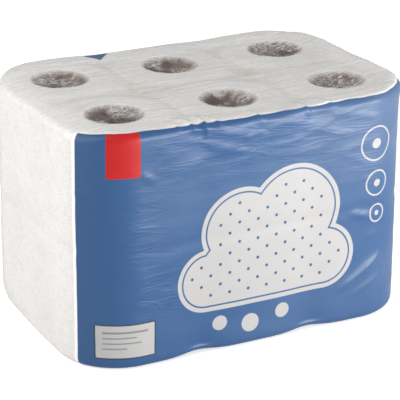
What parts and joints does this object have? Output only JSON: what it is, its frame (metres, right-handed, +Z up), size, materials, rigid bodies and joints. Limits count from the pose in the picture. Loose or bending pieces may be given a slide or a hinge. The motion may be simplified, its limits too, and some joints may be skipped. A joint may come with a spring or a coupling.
{
  "type": "toilet paper roll pack",
  "caption": "Film-wrapped block of toilet paper rolls standing on end in two layers, clear above, with a blue printed front and back.",
  "frame": {"origin": "middle of the pack's base, on the surface it stands on", "axes": "+X along the long side, from the left end to the right; the printed front faces -Y; +Z up along the rolls"},
  "size_m": [0.3094, 0.2068, 0.2006],
  "materials": {
    "tissue": "matt",
    "core_card": "matt",
    "film": "gloss"
  },
  "bodies": {
    "root": {"tissue_roll_lower_front_left": "tissue", "tissue_roll_lower_front_middle": "tissue", "tissue_roll_lower_front_right": "tissue", "tissue_roll_lower_back_left": "tissue", "tissue_roll_lower_back_middle": "tissue", "tissue_roll_lower_back_right": "tissue", "tissue_roll_upper_front_left": "tissue", "tissue_roll_upper_front_middle": "tissue", "tissue_roll_upper_front_right": "tissue", "tissue_roll_upper_back_left": "tissue", "tissue_roll_upper_back_middle": "tissue", "tissue_roll_upper_back_right": "tissue", "core_tube_lower_front_left": "core_card", "core_tube_lower_front_middle": "core_card", "core_tube_lower_front_right": "core_card", "core_tube_lower_back_left": "core_card", "core_tube_lower_back_middle": "core_card", "core_tube_lower_back_right": "core_card", "core_tube_upper_front_left": "core_card", "core_tube_upper_front_middle": "core_card", "core_tube_upper_front_right": "core_card", "core_tube_upper_back_left": "core_card", "core_tube_upper_back_middle": "core_card", "core_tube_upper_back_right": "core_card", "wrap_film": "film"}
  },
  "joints": []
}
